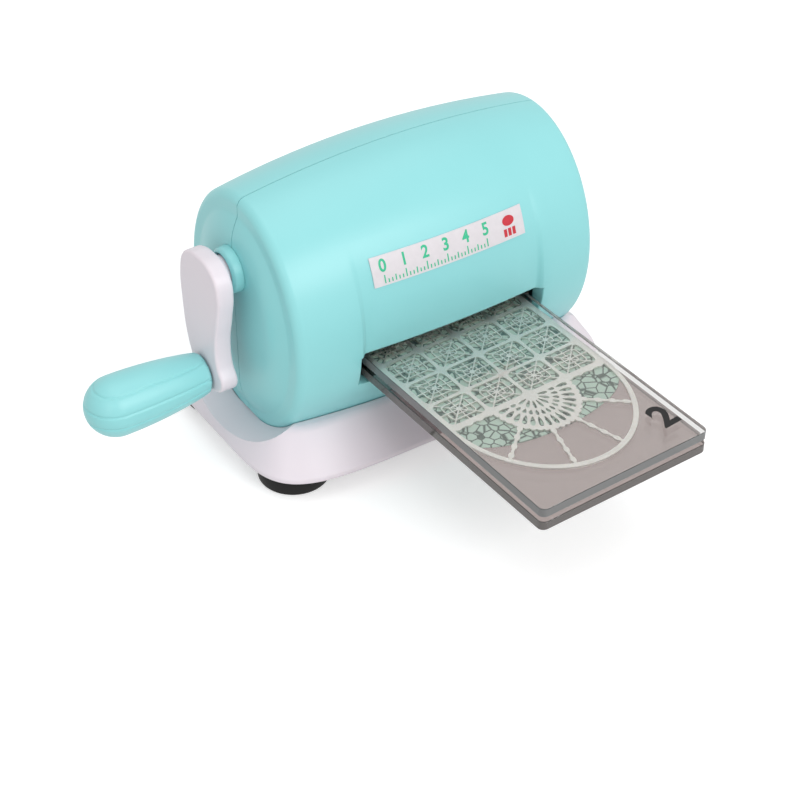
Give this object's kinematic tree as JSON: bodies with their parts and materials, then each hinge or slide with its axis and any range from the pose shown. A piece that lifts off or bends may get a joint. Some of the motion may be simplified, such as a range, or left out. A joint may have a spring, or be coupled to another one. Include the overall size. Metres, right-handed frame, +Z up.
{
  "type": "hand cranked die cutting machine",
  "caption": "Table-top die cutting machine: barrel casing on a flared base with rubber feet, side crank, geared pressure rollers and a stack of clear cutting plates in its slot.",
  "frame": {"origin": "centre of the bounding box at the table, under the feet", "axes": "+X along the rollers, away from the crank end; +Y from the front slot, where the plates go in, to the rear slot; +Z up"},
  "size_m": [0.2126, 0.1958, 0.1142],
  "materials": {
    "casing": "satin moulded ABS, pale aqua",
    "grip": "satin moulded ABS, pale aqua",
    "base": "satin moulded ABS, cool white",
    "arm": "satin moulded ABS, cool white",
    "feet": "soft matt",
    "screws": "zinc plated",
    "frames": "zinc plated sheet",
    "bushings": "sintered bronze",
    "shafts": "ground steel",
    "rollers": "polished",
    "gears": "moulded nylon",
    "label": "printed film",
    "plates": "polished clear acrylic, faint grey tint",
    "card": "matt",
    "die": "etched thin steel"
  },
  "bodies": {
    "machine": {"base": "base", "front_casing": "casing", "rear_casing": "casing", "crank_collar": "casing", "label": "label", "foot_front_left": "feet", "foot_rear_left": "feet", "foot_front_right": "feet", "foot_rear_right": "feet", "foot_screw_front_left": "screws", "foot_screw_rear_left": "screws", "foot_screw_front_right": "screws", "foot_screw_rear_right": "screws", "frame_screw_front_left": "screws", "frame_screw_rear_left": "screws", "frame_screw_front_right": "screws", "frame_screw_rear_right": "screws", "body_screw_front_left": "screws", "body_screw_rear_left": "screws", "body_screw_front_right": "screws", "body_screw_rear_right": "screws", "casing_screw_lower_left": "screws", "casing_screw_upper_left": "screws", "casing_screw_lower_right": "screws", "casing_screw_upper_right": "screws", "side_frame_left": "frames", "side_frame_right": "frames", "lower_roller_bushing_left": "bushings", "upper_roller_bushing_left": "bushings", "crank_bushing_left": "bushings", "lower_roller_bushing_right": "bushings", "upper_roller_bushing_right": "bushings", "crank_bushing_right": "bushings", "tie_rod_upper_front": "shafts", "tie_rod_upper_rear": "shafts", "tie_rod_lower_front": "shafts", "tie_rod_lower_rear": "shafts"},
    "crank": {"crank_shaft": "shafts", "crank_pinion": "gears", "crank_arm": "arm", "handle_pin": "shafts"},
    "grip": {"handle_grip": "grip"},
    "upper_press": {"upper_roller": "rollers", "upper_roller_gear": "gears", "drive_gear": "gears"},
    "lower_press": {"lower_roller": "rollers", "lower_roller_gear": "gears"},
    "plate_stack": {"lower_plate": "plates", "paper_card": "card", "cutting_die": "die", "upper_plate": "plates"}
  },
  "joints": [
    {"name": "crank_turn", "type": "hinge", "parent": "machine", "child": "crank", "pos_m": [0.0279, 0.04706, 0.08049], "axis": [1, 0, 0], "continuous": true},
    {"name": "grip_spin", "type": "hinge", "parent": "crank", "child": "grip", "pos_m": [-0.0574, 0.04706, 0.03879], "axis": [1, 0, 0], "continuous": true},
    {"name": "upper_roller_turn", "type": "hinge", "parent": "machine", "child": "upper_press", "pos_m": [0.0279, 0.04706, 0.06149], "axis": [1, 0, 0], "continuous": true},
    {"name": "lower_roller_turn", "type": "hinge", "parent": "machine", "child": "lower_press", "pos_m": [0.0279, 0.04706, 0.03109], "axis": [1, 0, 0], "continuous": true},
    {"name": "plate_feed", "type": "slide", "parent": "machine", "child": "plate_stack", "axis": [-0.0349, 0.9994, 0], "range_m": [-0.006, 0.15]}
  ],
  "couplings": [
    {"joint": "upper_roller_turn", "follows": "crank_turn", "ratio": -0.5},
    {"joint": "lower_roller_turn", "follows": "crank_turn", "ratio": 0.5}
  ]
}
